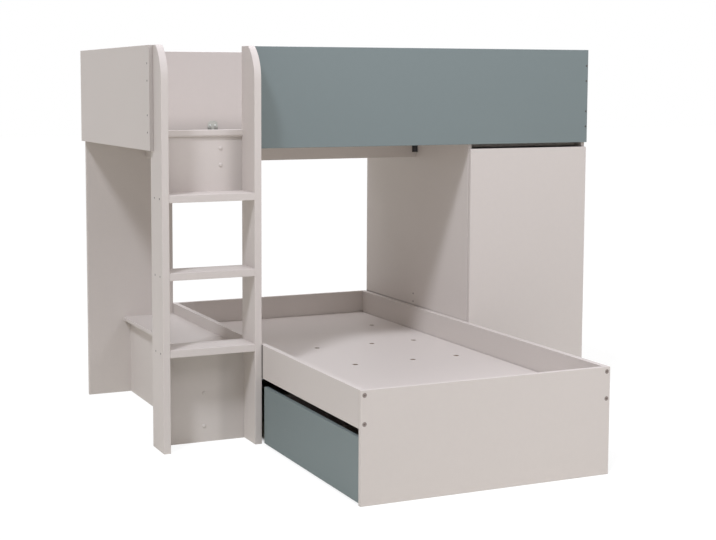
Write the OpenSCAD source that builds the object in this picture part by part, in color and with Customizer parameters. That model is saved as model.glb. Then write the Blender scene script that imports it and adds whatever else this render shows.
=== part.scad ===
// L-shaped bunk bed: a box bunk over a crosswise lower bed, carried by a
// ladder and a leg panel on the left and by a wardrobe on the right.
// Millimetres, +X right, +Y back, +Z up. The origin is on the floor under
// the middle of the whole outline.

/* [Mattresses] */
// Length of the mattress in each bed
mattress_length = 1900; // [1800:10:2000]
// Width of the mattress in each bed
mattress_width = 900; // [860:10:1000]
// Spare length inside the bunk box
bunk_length_gap = 22; // [10:1:60]
// Spare width inside the bunk box
bunk_width_gap = 40; // [36:1:70]
// Spare length inside the lower bed
bed_length_gap = 12; // [4:1:40]
// Spare width inside the lower bed
bed_width_gap = 30; // [10:1:60]

/* [Boards] */
// Thickness of the panels
board = 16; // [14:1:19]
// Thickness of the ladder uprights and steps
ladder_board = 28; // [24:1:34]
// Thickness of the lower bed's side rails
rail_board = 22; // [20:1:28]
// Thickness of the mattress base panels
base_board = 12; // [9:1:15]
// Thickness of the drawer box boards
drawer_board = 12; // [10:1:15]
// Thickness of the wardrobe's back
thin_board = 6; // [3:1:8]
// Rounding of the eased board edges
ease = 1.5; // [0.5:0.1:2.5]
// Gap all round a mattress base, which lies loose on its battens
base_gap = 3; // [1:1:5]

/* [Heights] */
// Height of the bunk box's lower edge
bunk_bottom = 1126; // [1080:1:1250]
// Height of the bunk box's sides
bunk_side = 391; // [340:1:420]
// Height of the lower bed's ends and rail tops
bed_top = 386; // [370:1:396]
// Height of the lower bed's side rails
rail_height = 130; // [110:1:140]
// Height of a mattress base above the lower edge that holds it
base_rise = 30; // [28:1:40]

/* [Ladder] */
// Clear width between the uprights
ladder_clear = 337; // [300:1:380]
// How far the uprights stand in front of the bunk's front panel
ladder_reach = 116; // [90:1:140]
// Height of the first step's top
first_step = 389; // [386:1:400]
// Height from one step to the next
step_pitch = 288.5; // [270:0.5:300]
// Number of steps
step_count = 3; // [3]
// Radius of the rounded top of an upright
upright_radius = 151; // [140:1:170]
// Height over which the top of an upright rounds off
upright_drop = 125; // [100:1:135]
// Width that the left end panel laps over the upright, in front of the bunk
end_lap = 24; // [10:1:40]
// Height of the entry sill's top above the bunk's lower edge
sill_rise = 74; // [68:1:90]
// How far the sill stands in front of the board under it
sill_nose = 10; // [4:1:14]
// Radius of the sill's rounded lower edge
sill_round = 10; // [4:1:14]
// How far the board under the sill laps behind each upright
entry_lap = 20; // [10:1:28]
// Distance from the left upright to the cross beam under the bunk
cross_beam_in = 242; // [150:1:300]
// How far the beams hang below the bunk's lower edge
beam_drop = 74; // [60:1:90]

/* [Ledge] */
// Height of the ledge's top
ledge_top_z = 340; // [300:1:345]
// Width of the ledge
ledge_width = 232; // [200:1:300]
// Width that the ledge overhangs its side panel
ledge_overhang = 31; // [10:1:60]

/* [Wardrobe] */
// Finger gap above the door
door_top_gap = 19; // [15:1:30]
// Gap between the closed door and what is beside it
door_edge_gap = 2; // [1.5:0.1:3]
// Gap between the closed door and the wardrobe sides behind it
door_gap = 2; // [1.8:0.1:3]
// Distance of the hinge line from the wardrobe's outer side
hinge_inset = 3; // [2.8:0.1:3.2]
// Height of the plinth
plinth = 66; // [40:1:90]
// How far the plinth and the shelves stand back from the door
set_back = 18; // [10:1:40]
// Distance of the outer hinges' centres from the door's ends
hinge_end = 90; // [60:1:140]
// Depth of the finger space in front of the wardrobe's top
finger_depth = 50; // [40:1:80]
// Height of the brace across the wardrobe
brace_height = 70; // [50:1:100]
// Height of the hanging rail's centre below the bunk
hanging_drop = 86; // [70:1:120]
// Diameter of the hanging rail
hanging_rail_d = 25; // [20:1:30]

/* [Drawer] */
// Finger gap above the drawer
drawer_top_gap = 29; // [20:1:40]
// Gap under the drawer's front
drawer_floor_gap = 8; // [6:1:15]
// Gap between the drawer's front and the foot panel
drawer_end_gap = 2; // [1:0.5:5]
// Gap between the drawer's front and the ladder
drawer_ladder_gap = 24; // [10:1:60]
// Height of the drawer box's sides
drawer_side = 132; // [100:1:150]
// Gap between the drawer box and the support behind it
drawer_back_gap = 10; // [4:1:40]

/* [Castors] */
// Diameter of a castor wheel
wheel_d = 40; // [36:1:44]
// Width of a castor wheel
wheel_w = 16; // [12:1:20]
// Diameter of a castor's pin
pin_d = 6; // [5:0.5:7]
// Gap between a wheel and its fork
wheel_gap = 1.2; // [0.8:0.1:2]
// Thickness of a castor's cheeks
cheek = 3.5; // [3:0.1:5]

/* [Fasteners] */
// Diameter of a flush screw's head
screw_head = 8; // [6:0.5:9]
// Diameter of a flush screw's shank
screw_shank = 4; // [3:0.5:5]
// Length of a flush screw
screw_length = 50; // [40:1:60]
// Diameter of a bed bolt's head
bolt_head = 16; // [12:1:18]
// Diameter of a bed bolt's shank
bolt_shank = 7; // [6:0.5:8]
// Length of a bed bolt
bolt_length = 60; // [40:1:80]
// Distance of the bed bolts from the foot panel's edge
bolt_inset = 14; // [11:1:14]
// Distance of the left end's screws in front of the front panel's back face
end_screw_in = 14; // [10:1:16]

/* [Vents] */
// Diameter of a vent hole in a mattress base
vent_d = 23; // [15:1:40]
// Distance between the two inner rows of vents
vent_pitch = 362; // [320:1:380]
// Distance of the inner rows' middle from the middle of the base
vent_shift = 26; // [0:1:60]
// Distance of an outer row of vents from the middle of the base
vent_outer = 603; // [560:1:620]

/* [Hidden] */

// Colours
pale = "#cfc4c0";
sage = "#80908e";
steel = "#b9bcbe";
dark = "#26262a";

// Fine clearances
fit = 0.15;        // round a fastener in its hole
pivot_fit = 0.05;  // round a turning pin
run = 0.4;         // between the ends of hinge knuckles
far = 1;           // overshoot of a cut past a face

// Outline of the whole piece
bunk_length = mattress_length + bunk_length_gap + 2 * board;
bunk_depth = mattress_width + bunk_width_gap + 2 * board;
bed_inside = mattress_length + bed_length_gap;
bed_width = mattress_width + bed_width_gap + 2 * rail_board;
foot_reach = bed_inside + 2 * board - bunk_depth;
x_left = -bunk_length / 2;
x_right = bunk_length / 2;
y_front = (foot_reach - bunk_depth) / 2;
y_back = y_front + bunk_depth;
y_foot = y_front - foot_reach;

// Inner faces of the bunk and the lower bed
y_panel = y_front + board;
y_rear = y_back - board;
y_bed = y_foot + board;
bunk_top = bunk_bottom + bunk_side;
bunk_base_top = bunk_bottom + base_rise;
bunk_base_low = bunk_base_top - base_board;
rail_bottom = bed_top - rail_height;
bed_base_top = rail_bottom + base_rise;
bed_base_low = bed_base_top - base_board;
batten_width = 30;

// Ladder
x_upright_l = x_left + board;
x_clear_l = x_upright_l + ladder_board;
x_clear_r = x_clear_l + ladder_clear;
x_bed = x_clear_r + ladder_board;
y_ladder = y_front - ladder_reach;
ladder_depth = y_panel - y_ladder;
step_tops = [for (i = [0 : step_count - 1]) first_step + i * step_pitch];
top_step = step_tops[step_count - 1];
step_screw_front = 30;
step_screw_spacing = 60;
step_screw_ys = [for (i = [0, 1]) y_ladder + step_screw_front + i * step_screw_spacing];

// Entry sill and the beams under the bunk
sill_top = bunk_bottom + sill_rise;
sill_bottom = sill_top - ladder_board;
beam_bottom = bunk_bottom - beam_drop;
beam_width = 32;
cross_x = x_clear_l + cross_beam_in;
y_beam = (y_panel + y_rear) / 2;

// Lower bed and wardrobe
x_bed_r = x_bed + bed_width;
x_bed_in_l = x_bed + rail_board;
x_bed_in_r = x_bed_r - rail_board;
x_bed_mid = (x_bed + x_bed_r) / 2;
x_ward = x_bed_r;
x_ward_in = x_ward + board;
x_ward_in_r = x_right - board;
y_ward = y_panel + door_gap;
y_ward_back = y_rear - thin_board;
door_top = bunk_bottom - door_top_gap;
door_bottom = plinth + door_edge_gap;
ward_floor = plinth + board;
shelf_low = bed_top + brace_height;

// Ledge
x_ledge = x_bed - ledge_width;
x_ledge_side = x_ledge + ledge_overhang;

// The 32 mm grid that the fasteners follow
grid = 32;
panel_screw_zs = [for (k = [-4, -2, 2, 4]) bunk_bottom + bunk_side / 2 + k * grid];
bolt_zs = [for (k = [-1.5, 1.5]) (rail_bottom + bed_top) / 2 + k * grid];
brace_screw_zs = [for (k = [-0.55, 0.55]) bed_top + brace_height / 2 + k * grid];
kick_screw_zs = [2 * grid - 2, 6 * grid - 2];
cross_screw_zs = [for (k = [-1, 1]) (beam_bottom + bunk_base_low) / 2 + k * grid];
y_end_screw = y_panel - end_screw_in;
y_brace = y_beam - board / 2;

// Drawer
x_drawer_box = x_bed + board;
x_drawer_back = x_bed_mid - board / 2 - drawer_back_gap;
y_drawer = y_bed + drawer_end_gap;
y_drawer_far = y_ladder - drawer_ladder_gap;
drawer_top = rail_bottom - drawer_top_gap;
box_margin = 10;
y_box = y_drawer + box_margin;
y_box_far = y_drawer_far - box_margin;
fork_roof = 4.5;
box_floor = wheel_d + wheel_gap + fork_roof;
box_floor_top = box_floor + drawer_board;
box_top = box_floor_top + drawer_side;

// Castors, set in from the corners of the drawer box
castor_in_x = 45;
castor_in_y = 60;
castor_spots = [
    for (x = [x_drawer_box + castor_in_x, x_drawer_back - castor_in_x])
        for (y = [y_box + castor_in_y, y_box_far - castor_in_y]) [x, y]
];
fork_half = wheel_w / 2 + wheel_gap;
fork_length = 46;
hub_r = 9;

// Door hinges
hinge_x = x_right - hinge_inset;
hinge_y = y_panel + door_gap / 2;
knuckle_r = hinge_inset;
knuckle_h = 20;
hinge_h = 3 * knuckle_h + 2 * run;
hinge_pin_r = knuckle_r / 2;
leaf_t = 0.7;
leaf_w = 11;
hinge_zs = [
    door_bottom + hinge_end, (door_bottom + door_top) / 2, door_top - hinge_end
];

$fn = 32;

// ---- Shapes that many pieces share ----

// A box between two values on each axis
module slab(x, y, z)
    translate([x[0], y[0], z[0]]) cube([x[1] - x[0], y[1] - y[0], z[1] - z[0]]);

// A rectangle with round corners, made of exact arcs
module round_rect(w, h, r) {
    translate([r, 0]) square([w - 2 * r, h]);
    translate([0, r]) square([w, h - 2 * r]);
    for (x = [r, w - r]) for (y = [r, h - r]) translate([x, y]) circle(r, $fn = 24);
}

// A board whose four edges along Z are eased
module eased_z(x, y, z)
    translate([x[0], y[0], z[0]])
        linear_extrude(z[1] - z[0]) round_rect(x[1] - x[0], y[1] - y[0], ease);

// A board whose four edges along X are eased
module eased_x(x, y, z)
    translate([x[0], y[0], z[0]]) rotate([90, 0, 90])
        linear_extrude(x[1] - x[0]) round_rect(y[1] - y[0], z[1] - z[0], ease);

// A board whose four edges along Y are eased
module eased_y(x, y, z)
    translate([x[0], y[1], z[0]]) rotate([90, 0, 0])
        linear_extrude(y[1] - y[0]) round_rect(x[1] - x[0], z[1] - z[0], ease);

// A board whose twelve edges are all eased
module eased(x, y, z) intersection() {
    eased_x(x, y, z);
    eased_y(x, y, z);
    eased_z(x, y, z);
}

// A fastener with a flush head at the origin and its shank along +Z
module fastener(head, shank, length, socket) {
    head_t = head / 4;
    difference() {
        union() {
            translate([0, 0, 0.2]) cylinder(d = head, h = head_t);
            translate([0, 0, 0.2]) cylinder(d = shank, h = length);
        }
        cylinder(d = socket, h = head_t * 0.8, $fn = 6);
    }
}

// The hole that such a fastener sits in
module fastener_hole(head, shank, length) {
    head_t = head / 4;
    translate([0, 0, -far]) cylinder(d = head + 2 * fit, h = head_t + far + 0.2);
    translate([0, 0, -far]) cylinder(d = shank + 2 * fit, h = length + far + 0.6);
}

// Turns a fastener along +X, -X, +Y or -Y
module facing(axis)
    rotate(axis == "+x" ? [0, 90, 0] : axis == "-x" ? [0, -90, 0]
         : axis == "+y" ? [-90, 0, 0] : [90, 0, 0]) children();

// ---- Where the fasteners are ----

// Through the left end panel into the left upright
module end_screw_places()
    for (z = panel_screw_zs) translate([x_left, y_end_screw, z]) facing("+x") children();

// Through the front panel into the right end panel
module front_screw_places()
    for (z = panel_screw_zs)
        translate([x_right - board / 2, y_front, z]) facing("+y") children();

// Through the left upright into the steps
module left_step_screw_places()
    for (y = step_screw_ys) for (top = step_tops)
        translate([x_upright_l, y, top - ladder_board / 2]) facing("+x") children();

// Through the right upright into the steps
module right_step_screw_places()
    for (y = step_screw_ys) for (top = step_tops)
        translate([x_bed, y, top - ladder_board / 2]) facing("-x") children();

// Through the wardrobe's sides into its brace
module left_brace_screw_places()
    for (z = brace_screw_zs) translate([x_ward, y_beam, z]) facing("+x") children();

module right_brace_screw_places()
    for (z = brace_screw_zs) translate([x_right, y_beam, z]) facing("-x") children();

// Through the foot panel and the head panel into the rails
module foot_bolt_places()
    for (x = [x_bed + bolt_inset, x_bed_r - bolt_inset]) for (z = bolt_zs)
        translate([x, y_foot, z]) facing("+y") children();

module head_bolt_places()
    for (x = [x_bed + bolt_inset, x_bed_r - bolt_inset]) for (z = bolt_zs)
        translate([x, y_back, z]) facing("-y") children();

// Through the kick board into the ledge's side
module kick_screw_places()
    for (z = kick_screw_zs)
        translate([x_ledge_side + board / 2, y_front, z]) facing("+y") children();

// Through the entry board into the cross beam
module cross_screw_places()
    for (z = cross_screw_zs)
        translate([cross_x + board / 2, y_panel, z]) facing("+y") children();

module screw() fastener(screw_head, screw_shank, screw_length, screw_shank * 0.7);
module screw_hole() fastener_hole(screw_head, screw_shank, screw_length);
module bolt() fastener(bolt_head, bolt_shank, bolt_length, bolt_shank * 0.8);
module bolt_hole() fastener_hole(bolt_head, bolt_shank, bolt_length);

// ---- Bunk box ----

module bunk_left_end() color(pale) difference() {
    eased([x_left, x_left + board], [y_front - end_lap, y_back], [bunk_bottom, bunk_top]);
    end_screw_places() screw_hole();
}

module bunk_right_end() color(pale) difference() {
    eased([x_right - board, x_right], [y_panel, y_back], [bunk_bottom, bunk_top]);
    front_screw_places() screw_hole();
}

module bunk_front_panel() color(sage) difference() {
    eased([x_bed, x_right], [y_front, y_panel], [bunk_bottom, bunk_top]);
    front_screw_places() screw_hole();
}

module bunk_back_panel() color(pale)
    eased_x([x_left + board, x_right - board], [y_rear, y_back], [bunk_bottom, bunk_top]);

// The thick edge at the head of the ladder
module entry_sill() color(pale) {
    depth = sill_nose + board;
    translate([x_clear_l, y_panel - sill_nose, sill_bottom]) rotate([90, 0, 90])
        linear_extrude(ladder_clear) {
            translate([sill_round, 0]) square([depth - sill_round, ladder_board - ease]);
            translate([0, sill_round]) square([depth, ladder_board - sill_round - ease]);
            translate([ease, sill_round]) square([depth - 2 * ease, ladder_board - sill_round]);
            translate([sill_round, sill_round]) circle(sill_round, $fn = 48);
            for (y = [ease, depth - ease])
                translate([y, ladder_board - ease]) circle(ease, $fn = 24);
        }
}

module entry_board() color(pale) difference() {
    slab([x_clear_l - entry_lap, x_clear_r + entry_lap], [y_panel, y_panel + board],
         [top_step - ladder_board, sill_bottom]);
    cross_screw_places() screw_hole();
}

module bunk_cross_beam() color(pale) difference() {
    eased_y([cross_x, cross_x + board], [y_panel + board, y_rear], [beam_bottom, bunk_base_low]);
    cross_screw_places() screw_hole();
    slab([cross_x - far, cross_x + board + far], [y_rear - batten_width, y_rear + far],
         [bunk_bottom, bunk_base_low + far]);
}

// The centre beam thins to a strip where it passes over the wardrobe
module bunk_centre_beam() color(pale) intersection() {
    y = [y_beam - beam_width / 2, y_beam + beam_width / 2];
    eased_x([cross_x + board, x_right - board], y, [beam_bottom, bunk_base_low]);
    translate([0, y[1], 0]) rotate([90, 0, 0]) linear_extrude(beam_width)
        polygon([
            [cross_x + board, beam_bottom], [x_ward, beam_bottom], [x_ward, bunk_bottom],
            [x_right - board, bunk_bottom], [x_right - board, bunk_base_low],
            [cross_x + board, bunk_base_low]
        ]);
}

module bunk_front_batten() color(pale)
    slab([x_bed, x_right - board], [y_panel, y_panel + batten_width],
         [bunk_bottom, bunk_base_low]);

module bunk_back_batten() color(pale)
    slab([x_left + board, x_right - board], [y_rear - batten_width, y_rear],
         [bunk_bottom, bunk_base_low]);

// One third of the bunk's base, from the left; the joints lie on whole millimetres
module bunk_base(third) {
    inside = [x_left + board + base_gap, x_right - board - base_gap];
    third_length = round((inside[1] - inside[0]) / 3);
    x0 = inside[0] + third * third_length;
    x1 = third == 2 ? inside[1] : x0 + third_length;
    // Behind the entry board, the base starts deeper than behind the front panel
    color(pale) difference() {
        slab([x0, x1], [y_panel + base_gap, y_rear - base_gap], [bunk_base_low, bunk_base_top]);
        slab([inside[0] - far, x_bed + base_gap], [y_panel, y_panel + board + base_gap],
             [bunk_base_low - far, bunk_base_top + far]);
        bunk_vents(x0, x1);
    }
}

// The vents of the bunk's base that lie between x0 and x1
module bunk_vents(x0, x1)
    for (spot = vent_spots) if (spot[0] > x0 + vent_d && spot[0] < x1 - vent_d)
        translate([spot[0], y_beam + spot[1], bunk_base_low - far])
            cylinder(d = vent_d, h = base_board + 2 * far);

module bunk_base_left() bunk_base(0);
module bunk_base_middle() bunk_base(1);
module bunk_base_right() bunk_base(2);

// Places of the vents, along and across from the middle of a base. An inner row
// has all the columns, an outer row only the outer ones
vent_columns = [-340, -110, 143, 340];
vent_spots = concat(
    [for (k = [-0.5, 0.5]) for (across = vent_columns) [vent_shift + k * vent_pitch, across]],
    [for (along = [-vent_outer, vent_outer]) for (k = [0, 3]) [along, vent_columns[k]]]
);

// An oval hole along +Z, long in X
module oval_hole(length, width, depth) {
    side = (length - width) / 2;
    for (x = [-side, side]) translate([x, 0, 0]) cylinder(d = width, h = depth);
    translate([-side, -width / 2, 0]) cube([2 * side, width, depth]);
}

// Bent steel angle that ties the bunk's back to the wall
wall_bracket_w = 48;
wall_bracket_h = 52;
wall_bracket_foot = 25;
wall_bracket_t = 2;
wall_bracket_in = 170;
wall_bracket_x = x_bed + wall_bracket_in;
bracket_hole = [12, 6];
bracket_hole_in = 12;
bracket_hole_up = 30;
module wall_bracket() color(steel) {
    corner = 16;
    difference() {
        translate([wall_bracket_x, y_rear, bunk_base_top]) {
            // Upright leaf with a rounded top
            rotate([90, 0, 0]) linear_extrude(wall_bracket_t) {
                square([wall_bracket_w, wall_bracket_h - corner]);
                translate([corner, 0]) square([wall_bracket_w - 2 * corner, wall_bracket_h]);
                for (x = [corner, wall_bracket_w - corner])
                    translate([x, wall_bracket_h - corner]) circle(corner, $fn = 48);
            }
            translate([0, -wall_bracket_foot, 0])
                cube([wall_bracket_w, wall_bracket_foot, wall_bracket_t]);
        }
        for (x = [bracket_hole_in, wall_bracket_w - bracket_hole_in]) {
            translate([wall_bracket_x + x, y_rear + far, bunk_base_top + bracket_hole_up])
                rotate([90, 0, 0])
                    oval_hole(bracket_hole[0], bracket_hole[1], wall_bracket_t + 2 * far);
            translate([wall_bracket_x + x, y_rear - wall_bracket_foot / 2, bunk_base_top - far])
                oval_hole(bracket_hole[0], bracket_hole[1], wall_bracket_t + 2 * far);
        }
    }
}

// ---- Ladder ----

// An upright: its eased front edge rises straight and then rounds off to the top
module upright(x) {
    arc_z = bunk_top - upright_drop;
    intersection() {
        eased([x, x + ladder_board], [y_ladder, y_panel], [0, bunk_top]);
        union() {
            slab([x - far, x + ladder_board + far], [y_ladder - far, y_panel + far],
                 [-far, arc_z]);
            translate([x, y_ladder + upright_radius, arc_z]) rotate([0, 90, 0])
                upright_disc();
        }
    }
}

// The disc, with eased rims, that shapes the top of an upright
module upright_disc() rotate_extrude($fn = 128) {
    square([upright_radius - ease, ladder_board]);
    translate([0, ease]) square([upright_radius, ladder_board - 2 * ease]);
    for (h = [ease, ladder_board - ease])
        translate([upright_radius - ease, h]) circle(ease, $fn = 24);
}

module ladder_left_upright() color(pale) difference() {
    upright(x_upright_l);
    end_screw_places() screw_hole();
    left_step_screw_places() screw_hole();
}

module ladder_right_upright() color(pale) difference() {
    upright(x_clear_r);
    right_step_screw_places() screw_hole();
}

module ladder_step(i) color(pale) difference() {
    eased_x([x_clear_l, x_clear_r], [y_ladder, y_panel],
            [step_tops[i] - ladder_board, step_tops[i]]);
    left_step_screw_places() screw_hole();
    right_step_screw_places() screw_hole();
}

module ladder_step_low() ladder_step(0);
module ladder_step_middle() ladder_step(1);
module ladder_step_top() ladder_step(step_count - 1);

// Closes the ladder from the floor to its first step
module kick_board() color(pale) difference() {
    slab([x_clear_l, x_clear_r], [y_front, y_panel], [0, first_step - ladder_board]);
    kick_screw_places() screw_hole();
}

// ---- Leg panel and ledge ----

module rear_leg_panel() color(pale)
    eased([x_left + board, x_bed], [y_rear, y_back], [0, bunk_bottom]);

module ledge_top() color(pale)
    eased_y([x_ledge, x_bed], [y_panel, y_rear], [ledge_top_z - board, ledge_top_z]);

module ledge_side() color(pale) difference() {
    slab([x_ledge_side, x_ledge_side + board], [y_panel, y_rear], [0, ledge_top_z - board]);
    kick_screw_places() screw_hole();
}

// ---- Lower bed ----

module foot_panel() color(pale) difference() {
    eased([x_bed, x_bed_r], [y_foot, y_bed], [0, bed_top]);
    foot_bolt_places() bolt_hole();
}

module head_panel() color(pale) difference() {
    eased([x_bed, x_bed_r], [y_rear, y_back], [0, bed_top]);
    head_bolt_places() bolt_hole();
}

module rail(x) color(pale) difference() {
    eased_y([x, x + rail_board], [y_bed, y_rear], [rail_bottom, bed_top]);
    foot_bolt_places() bolt_hole();
    head_bolt_places() bolt_hole();
}

module rail_left() rail(x_bed);
module rail_right() rail(x_bed_in_r);

// One third of the lower bed's base, from the foot
module bed_base(third) {
    inside = [y_bed + base_gap, y_rear - base_gap];
    third_length = round((inside[1] - inside[0]) / 3);
    y0 = inside[0] + third * third_length;
    y1 = third == 2 ? inside[1] : y0 + third_length;
    color(pale) difference() {
        slab([x_bed_in_l + base_gap, x_bed_in_r - base_gap], [y0, y1],
             [bed_base_low, bed_base_top]);
        bed_vents(y0, y1);
    }
}

// The vents of the lower bed's base that lie between y0 and y1
module bed_vents(y0, y1)
    for (spot = vent_spots) if (spot[0] > y0 + vent_d && spot[0] < y1 - vent_d)
        translate([x_bed_mid + spot[1], spot[0], bed_base_low - far])
            cylinder(d = vent_d, h = base_board + 2 * far);

module bed_base_foot() bed_base(0);
module bed_base_middle() bed_base(1);
module bed_base_head() bed_base(2);

module bed_batten(x) color(pale)
    slab([x, x + batten_width], [y_bed, y_rear], [rail_bottom, bed_base_low]);

module bed_left_batten() bed_batten(x_bed_in_l);
module bed_right_batten() bed_batten(x_bed_in_r - batten_width);

// Stands on the floor under the middle of the base, behind the drawer
module bed_centre_support() color(pale)
    slab([x_bed_mid - board / 2, x_bed_mid + board / 2], [y_bed, y_rear], [0, bed_base_low]);

// ---- Drawer on castors ----

module drawer_front() color(sage)
    eased([x_bed, x_drawer_box], [y_drawer, y_drawer_far], [drawer_floor_gap, drawer_top]);

module drawer_bottom() color(pale)
    slab([x_drawer_box, x_drawer_back], [y_box, y_box_far], [box_floor, box_floor_top]);

module drawer_side_near() color(pale)
    eased_x([x_drawer_box, x_drawer_back], [y_box, y_box + drawer_board],
         [box_floor_top, box_top]);

module drawer_side_far() color(pale)
    eased_x([x_drawer_box, x_drawer_back], [y_box_far - drawer_board, y_box_far],
         [box_floor_top, box_top]);

module drawer_back() color(pale)
    eased_y([x_drawer_back - drawer_board, x_drawer_back],
         [y_box + drawer_board, y_box_far - drawer_board], [box_floor_top, box_top]);

// One castor fork: a roof plate and two cheeks that narrow to the pin
module castor_fork() difference() {
    union() {
        translate([-fork_length / 2, -fork_half - cheek, box_floor - fork_roof])
            cube([fork_length, 2 * (fork_half + cheek), fork_roof]);
        for (side = [-1, 1]) translate([0, side * (fork_half + cheek / 2) + cheek / 2, 0])
            rotate([90, 0, 0]) linear_extrude(cheek) {
                translate([0, wheel_d / 2]) circle(hub_r);
                polygon([
                    [-hub_r, wheel_d / 2], [hub_r, wheel_d / 2],
                    [fork_length / 2, box_floor - fork_roof],
                    [-fork_length / 2, box_floor - fork_roof]
                ]);
            }
    }
    translate([0, 0, wheel_d / 2]) rotate([90, 0, 0])
        cylinder(d = pin_d + 2 * pivot_fit, h = 4 * fork_half + 4 * cheek, center = true);
}

module castor_forks() color(dark)
    for (spot = castor_spots) translate([spot[0], spot[1], 0]) castor_fork();

module castor_pins() color(steel)
    for (spot = castor_spots) translate([spot[0], spot[1], wheel_d / 2]) rotate([90, 0, 0])
        cylinder(d = pin_d, h = 2 * (fork_half + cheek), center = true);

// A wheel with a softly rounded tread, turned about its pin
module castor_wheel(i) {
    tread = 2;
    r = wheel_d / 2;
    bore = pin_d / 2 + pivot_fit;
    color(dark) translate([castor_spots[i][0], castor_spots[i][1], r]) rotate([90, 0, 0])
        rotate_extrude($fn = 64) {
            translate([bore, -wheel_w / 2]) square([r - tread - bore, wheel_w]);
            translate([bore, -wheel_w / 2 + tread]) square([r - bore, wheel_w - 2 * tread]);
            for (side = [-1, 1])
                translate([r - tread, side * (wheel_w / 2 - tread)]) circle(tread, $fn = 24);
        }
}

module castor_wheel_a() castor_wheel(0);
module castor_wheel_b() castor_wheel(1);
module castor_wheel_c() castor_wheel(2);
module castor_wheel_d() castor_wheel(3);

// ---- Wardrobe ----

module wardrobe_left_side() color(pale) difference() {
    eased([x_ward, x_ward_in], [y_ward, y_rear], [0, bunk_bottom]);
    left_brace_screw_places() screw_hole();
}

module wardrobe_right_side() color(pale) difference() {
    eased([x_ward_in_r, x_right], [y_ward, y_rear], [0, bunk_bottom]);
    right_brace_screw_places() screw_hole();
    knuckle_room();
}

module wardrobe_top() color(pale)
    eased_x([x_ward_in, x_ward_in_r], [y_ward + finger_depth, y_ward_back],
         [bunk_bottom - board, bunk_bottom]);

module wardrobe_bottom() color(pale)
    eased_x([x_ward_in, x_ward_in_r], [y_ward, y_ward_back], [plinth, ward_floor]);

module wardrobe_back() color(pale)
    slab([x_ward_in, x_ward_in_r], [y_ward_back, y_rear], [plinth, bunk_bottom]);

module wardrobe_plinth() color(pale)
    slab([x_ward_in, x_ward_in_r], [y_ward + set_back, y_ward + set_back + board], [0, plinth]);

// Ties the two sides across the middle and carries the shelf
module wardrobe_brace() color(pale) difference() {
    slab([x_ward_in, x_ward_in_r], [y_brace, y_brace + board], [bed_top, shelf_low]);
    left_brace_screw_places() screw_hole();
    right_brace_screw_places() screw_hole();
}

module wardrobe_shelf() color(pale)
    eased_x([x_ward_in, x_ward_in_r], [y_ward + set_back, y_ward_back],
         [shelf_low, shelf_low + board]);

hanging_z = bunk_bottom - hanging_drop;
socket_t = 10;
socket_wall = 4;
socket_floor = 3;
module hanging_rail() color(steel)
    translate([x_ward_in + socket_floor, y_beam, hanging_z]) rotate([0, 90, 0])
        difference() {
            length = x_ward_in_r - x_ward_in - 2 * socket_floor;
            cylinder(d = hanging_rail_d, h = length, $fn = 48);
            translate([0, 0, -far]) cylinder(d = hanging_rail_d - 3, h = length + 2 * far, $fn = 48);
        }

// The two cups that hold the hanging rail
module rail_sockets() color(steel)
    for (side = [0, 1])
        translate([side == 0 ? x_ward_in : x_ward_in_r, y_beam, hanging_z])
            rotate([0, side == 0 ? 90 : -90, 0]) difference() {
                cylinder(d = hanging_rail_d + 2 * socket_wall, h = socket_t, $fn = 48);
                translate([0, 0, socket_floor])
                    cylinder(d = hanging_rail_d + 2 * fit, h = socket_t, $fn = 48);
            }

module wardrobe_door() color(pale) difference() {
    eased([x_ward + door_edge_gap, hinge_x], [y_front, y_panel], [door_bottom, door_top]);
    knuckle_room();
}

// ---- Door hinges: leaves in the gap, knuckles round a pin ----

// The hollow that clears the knuckles in the door and the side
module knuckle_room()
    for (z = hinge_zs) translate([hinge_x, hinge_y, z - hinge_h / 2 - run])
        cylinder(r = knuckle_r + 0.35, h = hinge_h + 2 * run);

module knuckle(z, bore) translate([hinge_x, hinge_y, z]) difference() {
    cylinder(r = knuckle_r, h = knuckle_h);
    translate([0, 0, -far]) cylinder(r = bore, h = knuckle_h + 2 * far);
}

// Leaf on the back of the door with the middle knuckle
module door_hinge_leaves() color(steel) for (z = hinge_zs) {
    low = z - hinge_h / 2;
    mid = low + knuckle_h + run;
    knuckle(mid, hinge_pin_r + pivot_fit);
    slab([hinge_x - leaf_w, hinge_x - knuckle_r - 0.6], [y_panel, y_panel + leaf_t],
         [low, low + hinge_h]);
    slab([hinge_x - knuckle_r - 1, hinge_x - hinge_pin_r - 0.6], [y_panel, y_panel + leaf_t],
         [mid, mid + knuckle_h]);
}

// Leaf on the edge of the side with the two outer knuckles and the pin
module side_hinge_leaves() color(steel) for (z = hinge_zs) {
    low = z - hinge_h / 2;
    y = [y_ward - leaf_t, y_ward];
    translate([hinge_x, hinge_y, low]) cylinder(r = hinge_pin_r, h = hinge_h);
    slab([hinge_x - leaf_w, hinge_x - knuckle_r - 0.6], y, [low, low + hinge_h]);
    for (z0 = [low, low + 2 * (knuckle_h + run)]) {
        knuckle(z0, hinge_pin_r - 0.2);
        slab([hinge_x - knuckle_r - 1, hinge_x - hinge_pin_r - 0.6], y, [z0, z0 + knuckle_h]);
    }
}

// ---- Fasteners and fittings ----

module flush_screws() color(steel) {
    end_screw_places() screw();
    front_screw_places() screw();
    left_step_screw_places() screw();
    right_step_screw_places() screw();
    left_brace_screw_places() screw();
    right_brace_screw_places() screw();
    kick_screw_places() screw();
    cross_screw_places() screw();
}

module bed_bolts() color(steel) {
    foot_bolt_places() bolt();
    head_bolt_places() bolt();
}

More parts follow.
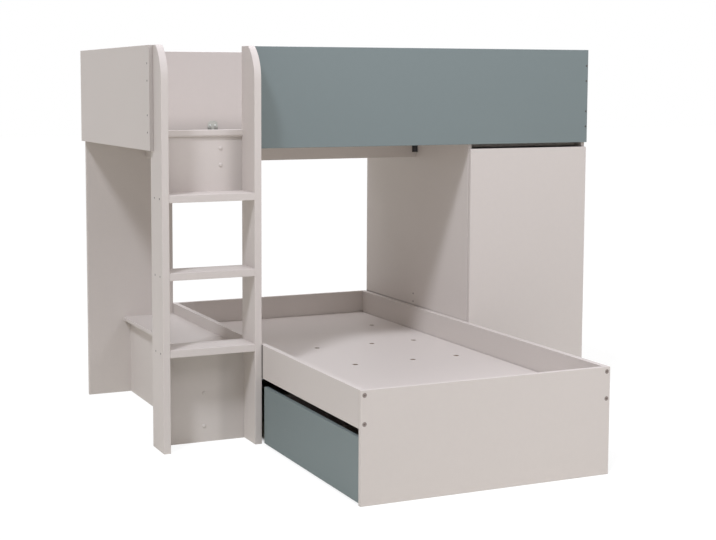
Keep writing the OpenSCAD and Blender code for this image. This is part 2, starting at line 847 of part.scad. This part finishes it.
// A moulded corner fitting with two flat leaves and a web between them
fitting_leaf = 20;
fitting_w = 15;
fitting_t = 3;
fitting_h = 30;
fitting_web = 6;
fitting_drop = 22;
module corner_fitting() {
    linear_extrude(fitting_h) polygon([
        [0, 0], [fitting_leaf, 0], [fitting_leaf, fitting_t],
        [fitting_t + fitting_web, fitting_t], [fitting_t, fitting_t + fitting_web],
        [fitting_t, fitting_w], [0, fitting_w]
    ]);
}

// At both ends of the centre beam
module corner_fittings() color(dark) {
    y = y_beam - beam_width / 2;
    z = bunk_bottom - fitting_drop - fitting_h;
    translate([x_ward, y, z]) rotate([0, 0, 180]) corner_fitting();
    translate([cross_x + board, y, z]) mirror([0, 1, 0]) corner_fitting();
}

// ---- The pieces ----

bunk_left_end();
bunk_right_end();
bunk_front_panel();
bunk_back_panel();
entry_sill();
entry_board();
bunk_cross_beam();
bunk_centre_beam();
bunk_front_batten();
bunk_back_batten();
bunk_base_left();
bunk_base_middle();
bunk_base_right();
wall_bracket();
ladder_left_upright();
ladder_right_upright();
ladder_step_low();
ladder_step_middle();
ladder_step_top();
kick_board();
rear_leg_panel();
ledge_top();
ledge_side();
foot_panel();
head_panel();
rail_left();
rail_right();
bed_base_head();
bed_base_middle();
bed_base_foot();
bed_left_batten();
bed_right_batten();
bed_centre_support();
drawer_front();
drawer_back();
drawer_side_near();
drawer_side_far();
drawer_bottom();
castor_forks();
castor_pins();
castor_wheel_a();
castor_wheel_b();
castor_wheel_c();
castor_wheel_d();
wardrobe_left_side();
wardrobe_right_side();
wardrobe_top();
wardrobe_bottom();
wardrobe_back();
wardrobe_shelf();
wardrobe_brace();
wardrobe_plinth();
hanging_rail();
rail_sockets();
wardrobe_door();
door_hinge_leaves();
side_hinge_leaves();
flush_screws();
bed_bolts();
corner_fittings();
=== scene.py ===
# %% [markdown]
# # A bunk bed in pale and sage boards
# This bed is two beds in one: a box bunk above, and a lower bed that stands crosswise
# under it, so that they make an L. A ladder and a leg panel carry the bunk on the left,
# and a wardrobe carries it on the right. All the boards, hinges and castors are already
# modelled in the frame that is loaded here, at their true size and place. What is left
# for this lesson is what makes them look real: the finish of the boards, the metal and
# the moulded plastic, the small cover caps, and the light.

# %% Load the frame
import math

import bpy
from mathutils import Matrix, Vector


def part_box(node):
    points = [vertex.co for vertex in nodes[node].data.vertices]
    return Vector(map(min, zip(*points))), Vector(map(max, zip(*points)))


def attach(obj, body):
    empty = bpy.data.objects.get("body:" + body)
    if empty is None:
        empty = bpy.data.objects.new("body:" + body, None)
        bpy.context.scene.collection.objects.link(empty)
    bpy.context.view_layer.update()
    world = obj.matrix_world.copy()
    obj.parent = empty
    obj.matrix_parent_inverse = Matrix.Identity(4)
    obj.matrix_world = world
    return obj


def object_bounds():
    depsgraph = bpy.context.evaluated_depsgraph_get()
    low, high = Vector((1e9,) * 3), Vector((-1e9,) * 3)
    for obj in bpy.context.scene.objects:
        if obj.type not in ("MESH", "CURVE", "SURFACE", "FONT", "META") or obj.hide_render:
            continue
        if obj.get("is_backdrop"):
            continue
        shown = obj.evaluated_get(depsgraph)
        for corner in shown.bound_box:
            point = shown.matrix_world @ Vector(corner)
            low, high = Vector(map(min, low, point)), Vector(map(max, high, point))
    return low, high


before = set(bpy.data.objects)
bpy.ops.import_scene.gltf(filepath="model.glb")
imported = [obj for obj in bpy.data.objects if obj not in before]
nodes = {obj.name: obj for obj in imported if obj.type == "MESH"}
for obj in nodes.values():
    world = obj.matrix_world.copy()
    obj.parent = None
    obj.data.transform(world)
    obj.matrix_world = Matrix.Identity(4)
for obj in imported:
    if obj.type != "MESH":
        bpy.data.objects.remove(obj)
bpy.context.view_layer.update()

print("pieces in the frame:", len(nodes))

# %% [markdown]
# ## The camera
# The photograph was taken from the left of the bed, a little above the middle of it, with
# a long lens. Its upright edges stay nearly parallel, which a real photographer gets by
# shifting the lens instead of tilting it down. A small shift does most of that here, and
# the rest is a slight tilt. The place, the turn and the lens came from matching the bed's
# corners with the photograph's.

# %% Place the camera
PICTURE_WIDE = 716
eye = Vector((-2.4872, -4.8795, 1.3726))
turn, tilt = 0.40124, -0.09376             # radians
focal_pixels = 1367.2
shift_right, shift_up = 0.10, -0.08        # in widths of the picture

lens = bpy.data.cameras.new("photo_lens")
lens.lens = focal_pixels * lens.sensor_width / PICTURE_WIDE
lens.shift_x, lens.shift_y = shift_right, shift_up
camera = bpy.data.objects.new("photo_camera", lens)
camera.location = eye
camera.rotation_euler = (math.pi / 2 + tilt, 0, -turn)
bpy.context.scene.collection.objects.link(camera)
bpy.context.scene.camera = camera
print("lens of", round(lens.lens, 1), "mm")

# %% [markdown]
# ## Writing materials as sums
# A material is a web of small nodes, and a web drawn by hand soon gets hard to read. This
# class wraps one socket of a node, so that plain sums such as `1 - wear` add the Math
# nodes by themselves. Everything that isn't a sum comes from its method `node`.

# %% A socket that can be added, multiplied and mixed
class Wire:
    """One output socket in a material's node tree."""

    def __init__(self, tree, socket=None):
        self.tree, self.socket = tree, socket

    def node(self, kind, settings=(), inputs=(), out=0):
        """Adds a node, sets it up, fills its sockets, and gives the wire of one output."""
        made = self.tree.nodes.new(kind)
        for name, value in dict(settings).items():
            setattr(made, name, value)
        for name, value in dict(inputs).items():
            if isinstance(value, Wire):
                self.tree.links.new(value.socket, made.inputs[name])
            else:
                made.inputs[name].default_value = value
        return Wire(self.tree, made.outputs[out])

    def math(self, operation, *values):
        return self.node("ShaderNodeMath", {"operation": operation}, dict(enumerate(values)))

    def __add__(self, other): return self.math("ADD", self, other)
    def __radd__(self, other): return self.math("ADD", other, self)
    def __sub__(self, other): return self.math("SUBTRACT", self, other)
    def __rsub__(self, other): return self.math("SUBTRACT", other, self)
    def __mul__(self, other): return self.math("MULTIPLY", self, other)
    def __rmul__(self, other): return self.math("MULTIPLY", other, self)

    def least(self, other): return self.math("MINIMUM", self, other)
    def most(self, other): return self.math("MAXIMUM", self, other)

    def vector(self, operation, *values, out=0):
        return self.node("ShaderNodeVectorMath", {"operation": operation},
                         dict(enumerate(values)), out)

    def scaled(self, factor):
        """This colour or vector times one factor."""
        return self.node("ShaderNodeVectorMath", {"operation": "SCALE"},
                         {0: self, "Scale": factor})

    def parts(self):
        """The X, Y and Z of a vector, as three wires."""
        first = self.node("ShaderNodeSeparateXYZ", (), {"Vector": self})
        outs = first.socket.node.outputs
        return [Wire(self.tree, outs[i]) for i in range(3)]

    def fade(self, start, end):
        """Goes smoothly from 0 at start to 1 at end."""
        return self.node("ShaderNodeMapRange", {"interpolation_type": "SMOOTHSTEP"},
                         {"Value": self, "From Min": start, "From Max": end})

    def mix(self, one, two):
        """Mixes two colours by this value: 0 gives the first, 1 the second."""
        return self.node("ShaderNodeMix", {"data_type": "RGBA"},
                         {"Factor": self, 6: one, 7: two}, 2)

    def noise(self, scale, detail=2.0, rough=0.5):
        """Soft random patches on this vector, about one patch in 1/scale metres."""
        return self.node("ShaderNodeTexNoise", (),
                         {"Vector": self, "Scale": scale, "Detail": detail, "Roughness": rough})


print("the Wire class is ready")

# %% A new material and its colours
def new_finish(name):
    """An empty material: gives it, its tools, and a surface shader to fill in."""
    finish = bpy.data.materials.new(name)
    finish.use_nodes = True
    tree = finish.node_tree
    tree.nodes.clear()
    surface = tree.nodes.new("ShaderNodeBsdfPrincipled")
    output = tree.nodes.new("ShaderNodeOutputMaterial")
    tree.links.new(surface.outputs["BSDF"], output.inputs["Surface"])
    return finish, Wire(tree), surface


def feed(surface, **values):
    """Fills the surface's sockets with numbers, colours or wires."""
    for name, value in values.items():
        socket = surface.inputs[name.replace("_", " ")]
        if isinstance(value, Wire):
            value.tree.links.new(value.socket, socket)
        else:
            socket.default_value = value


def colour(red, green, blue):
    """A colour as a painter mixes it, 0 to 255, turned into the light it reflects (sRGB)."""
    one = lambda c: c / 12.92 if c <= 0.04045 else ((c + 0.055) / 1.055) ** 2.4
    return (one(red / 255), one(green / 255), one(blue / 255), 1)


def dress(piece, finish):
    """Puts one material on a piece."""
    piece.data.materials.clear()
    piece.data.materials.append(finish)


print("a middle grey of 128 reflects", round(colour(128, 128, 128)[0], 3), "of the light")

# %% [markdown]
# ## The faced board
# Every large piece is a chipboard faced with a printed foil. Seen close, the foil has a
# fine pearl grain, a very slight unevenness from the chips under it, and a soft sheen
# that changes from place to place. Its edges are closed with a thin tape. Where two faces
# meet, the tape is rounded over and catches the light, and a hairline shows where it ends.
# Inside a drilled hole the raw chips show.
#
# A board is a box, so all of this can be worked out from where a point lies in it: the
# distances to the box's faces, in order of size, say whether a point is on a face, by an
# edge, or inside a hole. That needs no painting by hand, and it fits any board. A rounded
# edge lies a little inside the box too, so its radius sets where a hole begins.

# %% How far a point is from a board's faces
EASE = 0.0015          # radius of a board's eased edges, in metres
ARC_SOFT = 0.001       # over this height an upright's straight front turns into its arc


def board_distances(coords, low, high, arc=None):
    """Distances in metres to the nearest face along X, Y and Z."""
    centre = (low + high) / 2
    half = (high - low) / 2
    away = coords.vector("SUBTRACT", coords, tuple(centre))
    away = away.vector("ABSOLUTE", away)
    left = away.vector("SUBTRACT", tuple(half), away)
    x, y, z = left.parts()
    if arc:
        # The rounded top of a ladder upright: measure to its rim instead of its front
        arc_y, arc_z, arc_r = arc
        flat = coords.vector("MULTIPLY", coords, (0, 1, 1))
        reach = coords.vector("DISTANCE", flat, (0, arc_y, arc_z), out=1)
        above = coords.parts()[2].fade(arc_z - ARC_SOFT, arc_z + ARC_SOFT)
        y = y + above * ((arc_r - reach).least(y) - y)
    return x, y, z


print("eased edges of", EASE * 1000, "mm")

# %% The board's finish
SLOW, CHIPS, PEARL, RUBS, FLAKES = 1.3, 60, 900, 45, 420    # patches per metre of each pattern
SKIN = (0.0001, 0.0006)                                     # this near, a point is on a face
HOLE_START, HOLE_FULL = 0.0001, 0.0005                      # this far past an eased edge, a hole
RUBBED = (0.0006, 0.0028)                                   # an edge is rubbed this far in
HAIR_IN, HAIR_OUT = (0.0011, 0.0014), (0.0015, 0.0019)      # both sides of the hairline
RAW_DARK, RAW_LIGHT = colour(122, 106, 92), colour(166, 150, 132)
SHEEN, RELIEF_DEPTH = 0.32, 0.00012
SHIFT = (3.1, 1.7, 2.3)                                     # moves the patterns, times the seed


def board_finish(name, low, high, face, tape, arc=None, seed=0.0, rounding=EASE, painted_shade=None):
    """Foil-faced board: its grain, its taped edges, its raw holes and any painted shade."""
    finish, wire, surface = new_finish(name)
    coords = wire.node("ShaderNodeTexCoord", out=3)
    place = coords.vector("ADD", coords, tuple(seed * step for step in SHIFT))
    x, y, z = board_distances(coords, low, high, arc)
    nearest = x.least(y).least(z)
    edge = x.least(y).most(x.most(y).least(z))

    size = high - low
    thin = min(range(3), key=lambda i: size[i])
    on_face = 1 - (x, y, z)[thin].fade(*SKIN)
    deepest = rounding * (1 - math.sqrt(0.5))
    in_hole = nearest.fade(deepest + HOLE_START, deepest + HOLE_FULL)

    # Slow tone, chips felt through the foil, and the fine pearl grain
    slow = place.noise(SLOW, 2.0)
    chips = place.noise(CHIPS, 3.0, 0.6)
    pearl = place.noise(PEARL, 2.0, 0.6)
    tone = 0.94 + slow * 0.06 + chips * 0.035 + pearl * 0.025
    # Painted shade: the tone falls where this board's seam or corner lies in shade
    if painted_shade:
        tone = tone * (1 - painted_shade(*coords.parts()))

    # Rubbed arrises and the hairline where the tape ends
    rubbed = (1 - edge.fade(*RUBBED)) * place.noise(RUBS, 3.0).fade(0.35, 0.75)
    hairline = edge.fade(*HAIR_IN) * (1 - edge.fade(*HAIR_OUT)) * on_face
    tone = tone + rubbed * 0.03 - hairline * 0.10

    # Paint, and raw chipboard in the holes
    flakes = place.noise(FLAKES, 3.0, 0.7)
    raw = flakes.fade(0.3, 0.7).mix(RAW_DARK, RAW_LIGHT)
    paint = in_hole.mix(on_face.mix(tape, face).scaled(tone), raw)

    rough = 0.52 + (slow - 0.5) * 0.10 + (chips - 0.5) * 0.10 - rubbed * 0.08 + in_hole * 0.4
    relief = pearl * 0.5 + chips * 0.9 - hairline * 1.6 + in_hole * flakes * 6.0
    bump = wire.node("ShaderNodeBump", (),
                     {"Strength": 0.35, "Distance": RELIEF_DEPTH, "Height": relief})
    feed(surface, Base_Color=paint, Roughness=rough, Normal=bump, Specular_IOR_Level=SHEEN)
    return finish


print("hairline", round((HAIR_OUT[0] - HAIR_IN[1]) * 1000, 2), "mm wide at its darkest")

# %% [markdown]
# ## Two colours of board
# Most boards are a pale, warm greige, and the bunk's front panel and the drawer's front
# are a grey sage. Each board gets a copy of the finish made for its own size, with its own
# seed, because two boards are never cut from the same stretch of foil. The tape of the
# pale boards has the colour of their faces, and the tape of the sage ones is a shade
# lighter, as a tape from another roll is.

# %% Sort the pieces
PALE = PALE_TAPE = colour(205, 198, 192)
SAGE, SAGE_TAPE = colour(120, 131, 131), colour(124, 135, 135)
sage_boards = {"bunk_front_panel", "drawer_front"}
metal_nodes = {"wall_bracket", "castor_pins", "hanging_rail", "rail_sockets",
               "door_hinge_leaves", "side_hinge_leaves", "flush_screws", "bed_bolts"}
plastic_nodes = {"castor_forks", "corner_fittings", "castor_wheel_a", "castor_wheel_b",
                 "castor_wheel_c", "castor_wheel_d"}
boards = [n for n in sorted(nodes) if n not in metal_nodes and n not in plastic_nodes]
print("boards:", len(boards), "of which sage:", len(sage_boards))

# %% [markdown]
# ## Painted shade in seams and corners
# The lamps darken the corners of the bed by themselves. In a few places the photograph is
# darker than the lamps make it: along the seams by the ladder's upright and over the bed's
# rail, on the front edge of the bunk's left end, and towards a few corners. There shade is
# painted into the board, and its tone falls a little. Each painted shade below says how much
# is taken off at a point, and it touches only the one face that shows.

# %% Paint the shade into the seams and corners
FACE = (0.0005, 0.001)                                      # this near, a point is on that face
UPRIGHT_SEAM, RAIL_SEAM = (0.008, 0.014), (0.003, 0.008)    # dark up to here, gone from there
RAIL_DEEPENS = (0.1, 1.0)                                   # between these on Y, it gets darker
BASE_REACH, ENTRY_LEFT, ENTRY_RIGHT = 0.09, 0.10, 0.08      # how far a corner's shade reaches
KICK_START, KICK_FULL = 0.122, 0.075                        # distances from the right upright

upright_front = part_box("ladder_right_upright")[0].y
rail_low, rail_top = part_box("rail_left")[0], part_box("rail_left")[1].z
side_low, end_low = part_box("wardrobe_left_side")[0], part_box("bunk_left_end")[0]
back_low, base_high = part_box("bunk_back_panel")[0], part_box("bunk_base_left")[1]
entry_low, kick_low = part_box("entry_board")[0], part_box("kick_board")[0]
clear_left, clear_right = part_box("ladder_left_upright")[1].x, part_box("ladder_right_upright")[0].x


def near(value, place, start, end):
    """1 at a place, and 0 from a little way off it."""
    away = value - place
    return 1 - away.math("ABSOLUTE", away).fade(start, end)


painted_shades = {
    # Painted shade: seams by the ladder's upright and over the bed's rail, the left end's front edge
    "rail_left": lambda x, y, z:
        near(x, rail_low.x, *FACE) * near(y, upright_front, *UPRIGHT_SEAM) * 0.8,
    "wardrobe_left_side": lambda x, y, z:
        near(x, side_low.x, *FACE) * near(z, rail_top, *RAIL_SEAM)
        * (0.12 + y.fade(*RAIL_DEEPENS) * 0.4),
    "bunk_left_end": lambda x, y, z: near(y, end_low.y, *FACE) * 0.20,
    # Painted shade over the bunk's base, and painted shadows of the ladder's uprights
    "bunk_back_panel": lambda x, y, z:
        near(y, back_low.y, *FACE) * (1 - z.fade(base_high.z, base_high.z + BASE_REACH)) * 0.18,
    "entry_board": lambda x, y, z:
        near(y, entry_low.y, *FACE)
        * ((1 - x.fade(clear_left, clear_left + ENTRY_LEFT)) * 0.12
           + x.fade(clear_right - ENTRY_RIGHT, clear_right) * 0.18),
    "kick_board": lambda x, y, z:
        near(y, kick_low.y, *FACE)
        * x.fade(clear_right - KICK_START, clear_right - KICK_FULL) * 0.14,
}
print("boards with a dark seam or corner:", len(painted_shades))

# %% Give every board its finish
UPRIGHT_RADIUS, UPRIGHT_DROP = 0.151, 0.125    # the arc at the top of an upright
SILL_ROUND = 0.010
SEED_STEP = 0.37

for count, name in enumerate(boards):
    low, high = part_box(name)
    arc = None
    if name.endswith("_upright"):
        arc = (low.y + UPRIGHT_RADIUS, high.z - UPRIGHT_DROP, UPRIGHT_RADIUS)
    face, tape = (SAGE, SAGE_TAPE) if name in sage_boards else (PALE, PALE_TAPE)
    rounding = SILL_ROUND if name == "entry_sill" else EASE
    dress(nodes[name], board_finish("board_" + name, low, high, face, tape, arc,
                                    count * SEED_STEP, rounding, painted_shades.get(name)))
print("boards finished:", len(boards))

# %% [markdown]
# ## Metal
# The screws are blackened steel, which shows as a small dark dot. The bed bolts are nickel
# plated and have gone a little dull. The hinges, the rail and the pins are zinc plated:
# brighter, with fine brush lines and cloudy patches of zinc. The bracket at the back is
# zinc plated too, but dull, with a painted shade at its foot.

# %% A finish for plated steel
CLOUDS, WEAR = 180, 70               # patches per metre
BRUSH_DEPTH = 0.00005
# The dark grey that a painted shade mixes into the metal
PAINTED_SHADE_GREY = colour(70, 68, 64)


def metal_finish(name, light, dark, rough, stretch, metal=1.0, painted_shade=None):
    """Plated steel with brush lines along one direction."""
    finish, wire, surface = new_finish(name)
    coords = wire.node("ShaderNodeTexCoord", out=3)
    drawn = coords.vector("MULTIPLY", coords, stretch)
    lines = drawn.noise(1.0, 3.0, 0.6)
    clouds = coords.noise(CLOUDS, 2.0)
    worn = coords.noise(WEAR, 3.0).fade(0.45, 0.8)
    paint = (lines * 0.5 + clouds * 0.5).fade(0.3, 0.7).mix(dark, light)
    # Painted shade: the paint goes towards a dark grey where the shade falls
    if painted_shade:
        paint = painted_shade(*coords.parts()).mix(paint, PAINTED_SHADE_GREY)
    shine = rough + (lines - 0.5) * 0.14 + (clouds - 0.5) * 0.12 + worn * 0.06
    bump = wire.node("ShaderNodeBump", (),
                     {"Strength": 0.3, "Distance": BRUSH_DEPTH, "Height": lines})
    feed(surface, Base_Color=paint, Roughness=shine, Metallic=metal, Normal=bump)
    return finish


# %% Dress the metal pieces
BRUSHED_UP, BRUSHED_FINE = (300, 300, 2500), (900, 900, 900)
BLACKENED_GRAIN = (1500, 1500, 1500)
bracket_low, bracket_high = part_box("wall_bracket")
bracket_mid = (bracket_low.x + bracket_high.x) / 2


def bracket_foot_shade(x, y, z):
    """Painted shade at the bracket's foot, lighter along its middle."""
    foot = 1 - (z - bracket_low.z).fade(0.019, 0.026)
    return foot * (1 - near(x, bracket_mid, 0.002, 0.009) * 0.7) * 0.6


zinc = metal_finish("zinc_plate", colour(214, 216, 212), colour(186, 189, 187), 0.42,
                    BRUSHED_UP, 0.75)
nickel = metal_finish("dull_nickel", colour(160, 149, 144), colour(130, 120, 115), 0.48,
                      BRUSHED_FINE, 0.55)
black_steel = metal_finish("blackened_steel", colour(106, 98, 97), colour(74, 68, 67), 0.42,
                           BLACKENED_GRAIN, 0.8)
# The bracket's dull zinc, with a painted shade at its foot
dull_zinc_painted_shade = metal_finish("dull_zinc_painted_shade", colour(202, 202, 194), colour(180, 181, 173), 0.5,
                          BRUSHED_UP, 0.35, bracket_foot_shade)
others = {"flush_screws": black_steel, "bed_bolts": nickel, "wall_bracket": dull_zinc_painted_shade}
for name in sorted(metal_nodes):
    dress(nodes[name], others.get(name, zinc))
print("metal pieces finished:", len(metal_nodes))

# %% [markdown]
# ## Moulded plastic
# The castors and the corner fittings are moulded in black plastic. A mould is sparked to
# give the surface a fine even grain, and the wheels pick up a little grey dust.

# %% The plastic finishes
SPARK, DUST_PATCHES = 1600, 90       # patches per metre
SPARK_DEPTH = 0.00006


def plastic_finish(name, body, dust, rough, dusty):
    """Moulded plastic with a sparked grain and some dust."""
    finish, wire, surface = new_finish(name)
    coords = wire.node("ShaderNodeTexCoord", out=3)
    spark = coords.noise(SPARK, 2.0, 0.6)
    patches = coords.noise(DUST_PATCHES, 3.0, 0.6)
    cover = patches.fade(0.45, 0.85) * dusty
    paint = cover.mix(body, dust)
    shine = rough + (spark - 0.5) * 0.12 + cover * 0.25
    bump = wire.node("ShaderNodeBump", (),
                     {"Strength": 0.4, "Distance": SPARK_DEPTH, "Height": spark})
    feed(surface, Base_Color=paint, Roughness=shine, Normal=bump, Specular_IOR_Level=0.5)
    return finish


black_plastic = plastic_finish("black_plastic", colour(38, 38, 41), colour(96, 94, 92), 0.42, 0.35)
cap_plastic = plastic_finish("cap_plastic", PALE, colour(190, 183, 177), 0.34, 0.3)
for name in sorted(plastic_nodes):
    dress(nodes[name], black_plastic)
print("plastic pieces finished:", len(plastic_nodes))

# %% [markdown]
# ## Cover caps and bracket screws
# The screws that come through the board at the head of the ladder, and through the board
# under the first step, are hidden by small domed caps of the boards' own colour. Two screws
# with domed heads hold the bracket to the back. All of them are one shape in two sizes: a
# thin disc whose front is drawn out in rings. Each ring is a little smaller and a little
# further out, as the points of an ellipse are.

# %% Model one dome
SIDES, RINGS = 48, 6
RIM_SHARE = 0.25                     # the disc's share of the dome's height
LAST_RING = math.radians(84)         # how far round the ellipse the rings go


def dome(name, x, face_y, z, radius, height, finish):
    """A domed disc on a face that looks along -Y."""
    bpy.ops.object.select_all(action="DESELECT")
    rim = height * RIM_SHARE
    bpy.ops.mesh.primitive_cylinder_add(vertices=SIDES, radius=radius, depth=rim,
                                        location=(x, face_y - rim / 2, z),
                                        rotation=(math.pi / 2, 0, 0))
    piece = bpy.context.object
    piece.name = piece.data.name = name
    bpy.ops.object.transform_apply(location=True, rotation=True, scale=True)
    front = min(piece.data.polygons, key=lambda p: p.center.y).index
    bpy.ops.object.mode_set(mode="EDIT")
    bpy.ops.mesh.select_mode(type="FACE")
    bpy.ops.mesh.select_all(action="DESELECT")
    bpy.ops.object.mode_set(mode="OBJECT")
    piece.data.polygons[front].select = True
    bpy.ops.object.mode_set(mode="EDIT")
    for ring in range(RINGS):
        one, two = (LAST_RING * step / RINGS for step in (ring, ring + 1))
        bpy.ops.mesh.inset(thickness=radius * (math.cos(one) - math.cos(two)), depth=0)
        lift = (height - rim) * (math.sin(two) - math.sin(one))
        bpy.ops.transform.translate(value=(0, -lift, 0))
    bpy.ops.mesh.select_all(action="SELECT")
    bpy.ops.mesh.normals_make_consistent(inside=False)
    bpy.ops.object.mode_set(mode="OBJECT")
    bpy.ops.object.shade_smooth_by_angle(angle=math.radians(40))
    dress(piece, finish)
    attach(piece, "frame")
    return piece


# %% Set the caps and the screws
CAP_RADIUS, CAP_HEIGHT, CAP_OFF = 0.0078, 0.0034, 0.032
KICK_LOW, KICK_HIGH = 0.062, 0.190             # heights of the caps on the kick board
HEAD_RADIUS, HEAD_HEIGHT = 0.0050, 0.0030
LEAF, HOLE_IN, HOLE_UP = 0.002, 0.012, 0.030   # the bracket's thickness and its holes' places

entry_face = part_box("entry_board")[0].y
cross_low, cross_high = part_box("bunk_cross_beam")
kick_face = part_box("kick_board")[0].y
ledge_low, ledge_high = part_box("ledge_side")
cross_x = (cross_low.x + cross_high.x) / 2
ledge_x = (ledge_low.x + ledge_high.x) / 2
cross_mid = (cross_low.z + cross_high.z) / 2
caps = [dome(name, x, face_y, z, CAP_RADIUS, CAP_HEIGHT, cap_plastic)
        for name, x, face_y, z in (("cap_entry_low", cross_x, entry_face, cross_mid - CAP_OFF),
                                   ("cap_entry_high", cross_x, entry_face, cross_mid + CAP_OFF),
                                   ("cap_kick_low", ledge_x, kick_face, KICK_LOW),
                                   ("cap_kick_high", ledge_x, kick_face, KICK_HIGH))]
screws = [dome("bracket_screw_" + side, x, bracket_high.y - LEAF, bracket_low.z + HOLE_UP,
               HEAD_RADIUS, HEAD_HEIGHT, zinc)
          for side, x in (("left", bracket_low.x + HOLE_IN), ("right", bracket_high.x - HOLE_IN))]
print("caps and screws:", [piece.name for piece in caps + screws])

# %% [markdown]
# ## Floor, background and light
# The photograph is a studio picture on white. A wide floor catches a soft shadow, and the
# background is white wherever the camera, or a shiny surface, looks at it. To be as white
# as the background, the floor glows a little, but only for the camera, so that its glow
# lights nothing. Under the lower bed and the ledge the glow fades out, because there the
# photograph is nearly black. The light on the bed itself stays at a plain level, at which a
# colour looks as it was mixed.

# %% Lay the floor
FLOOR_WIDE = 60
GLOW_STRENGTH, GLOW_SHARE = 1.125, 0.78
GLOW_COLOUR, FLOOR_COLOUR = (0.987, 0.992, 1, 1), (0.88, 0.88, 0.80, 1)
LEFT_SIDE, RIGHT_SIDE, ENDS = (0.008, 0.045), (0.02, 0.10), (0.0, 0.004)    # where the dark fades in


def inside(x, y, low, high):
    """1 inside a box seen from above: soft at its open right, sharp at its closed ends."""
    across = (x - low.x).fade(*LEFT_SIDE).least((high.x - x).fade(*RIGHT_SIDE))
    along = (y - low.y).least(high.y - y).fade(*ENDS)
    return across.least(along)


bpy.ops.object.select_all(action="DESELECT")
bpy.ops.mesh.primitive_plane_add(size=FLOOR_WIDE, location=(0, 0, 0))
floor = bpy.context.object
floor.name = floor.data.name = "studio_floor"
floor_paint, wire, surface = new_finish("studio_floor")
spot_x, spot_y, _ = wire.node("ShaderNodeTexCoord", out=3).parts()
foot_low, rail_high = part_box("foot_panel")[0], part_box("rail_right")[1]
ledge_side_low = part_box("ledge_side")[0]
bed = inside(spot_x, spot_y, foot_low, rail_high)
nook = inside(spot_x, spot_y, ledge_side_low, rail_high)
under = bed.most(nook)
seen = wire.node("ShaderNodeLightPath", out=0)
glow = wire.node("ShaderNodeEmission", (), {"Color": GLOW_COLOUR, "Strength": GLOW_STRENGTH})
matt = wire.node("ShaderNodeBsdfDiffuse", (), {"Color": FLOOR_COLOUR})
both = wire.node("ShaderNodeMixShader", (), {0: seen * GLOW_SHARE * (1 - under), 1: matt, 2: glow})
wire.tree.links.new(both.socket, wire.tree.nodes["Material Output"].inputs["Surface"])
dress(floor, floor_paint)
floor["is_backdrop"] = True
print("floor of", FLOOR_WIDE, "m laid")

# %% Light the background
SKY_COLOUR, SKY_STRENGTH = (1, 0.93, 0.93, 1), 0.405

world = bpy.data.worlds.new("studio")
bpy.context.scene.world = world
world.use_nodes = True
world.node_tree.nodes.clear()
air = Wire(world.node_tree)
camera_ray, glossy_ray, clear_ray = (air.node("ShaderNodeLightPath", out=out) for out in (0, 3, 6))
white = air.node("ShaderNodeBackground", (), {"Color": (1, 1, 1, 1), "Strength": 1.0})
soft = air.node("ShaderNodeBackground", (), {"Color": SKY_COLOUR, "Strength": SKY_STRENGTH})
sky = air.node("ShaderNodeMixShader", (),
               {0: camera_ray.most(glossy_ray).most(clear_ray), 1: soft, 2: white})
end = world.node_tree.nodes.new("ShaderNodeOutputWorld")
world.node_tree.links.new(sky.socket, end.inputs["Surface"])
print("background white to the camera, and at", SKY_STRENGTH, "to the bed")

# %% [markdown]
# ## The lamps
# The shadows in the photograph tell where the lamps hung. The sharpest ones fall to the
# right and down, from a far lamp on the left. The board at the head of the ladder is
# bright in its middle and darker at both ends, so another lamp stood in front, a little
# to the right. Two soft lamps, one before the bed and one behind it, brighten what lies flat.
#
# The shaded corners are warmer than the lit faces, because light that bounces from board to
# board takes on more of their warm colour each time. So the boards are mixed a little
# warmer than they look, the light from all around is a little warm too, and the lamps are
# a little cool, as daylight is. The floor is mixed warm enough for what it throws back up
# to be neutral.

# %% Hang the lamps
DAYLIGHT, KEY_LIGHT = (1, 1, 1.09), (0.94, 0.98, 1.09)
AIM_HEIGHT = 0.75


def lamp(name, kind, turn_left, height, far, spread, power, tint):
    """A lamp seen from the bed at a turn to the left of the front and a height, in degrees."""
    light = bpy.data.lights.new(name, kind)
    light.energy, light.color = power, tint
    if kind == "SUN":
        light.angle = math.radians(spread)
    else:
        light.shape, light.size = "SQUARE", spread
    holder = bpy.data.objects.new(name, light)
    left, up = math.radians(turn_left), math.radians(height)
    aim = Vector((-math.sin(left) * math.cos(up), -math.cos(left) * math.cos(up), math.sin(up)))
    holder.location = Vector((0, 0, AIM_HEIGHT)) + aim * far
    holder.rotation_euler = aim.to_track_quat("Z", "Y").to_euler()
    bpy.context.scene.collection.objects.link(holder)
    return light


# Turn, height, distance, spread (in degrees for the far lamp, else in metres), power and tint
lamps = [lamp("key_lamp", "SUN", 50, 52, 9.0, 9, 1.50, KEY_LIGHT),
         lamp("front_lamp", "AREA", -15, 35, 3.5, 1.2, 21.8, DAYLIGHT),
         lamp("top_lamp", "AREA", 20, 62, 3.0, 1.2, 16.5, DAYLIGHT),
         lamp("back_lamp", "AREA", 180, 62, 3.0, 1.6, 42.0, DAYLIGHT)]
print("lamps hung:", [(light.name, round(light.energy, 2)) for light in lamps])

# %% [markdown]
# ## The dressed size
# The dressed bed is made on the frame, and the script ends by printing its box. The
# dressed bed may not be larger than the frame it was made on.

# %% Print the dressed size
bpy.context.scene.view_settings.view_transform = "Standard"
low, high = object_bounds()
print("dressed", [round(v, 3) for v in high - low])
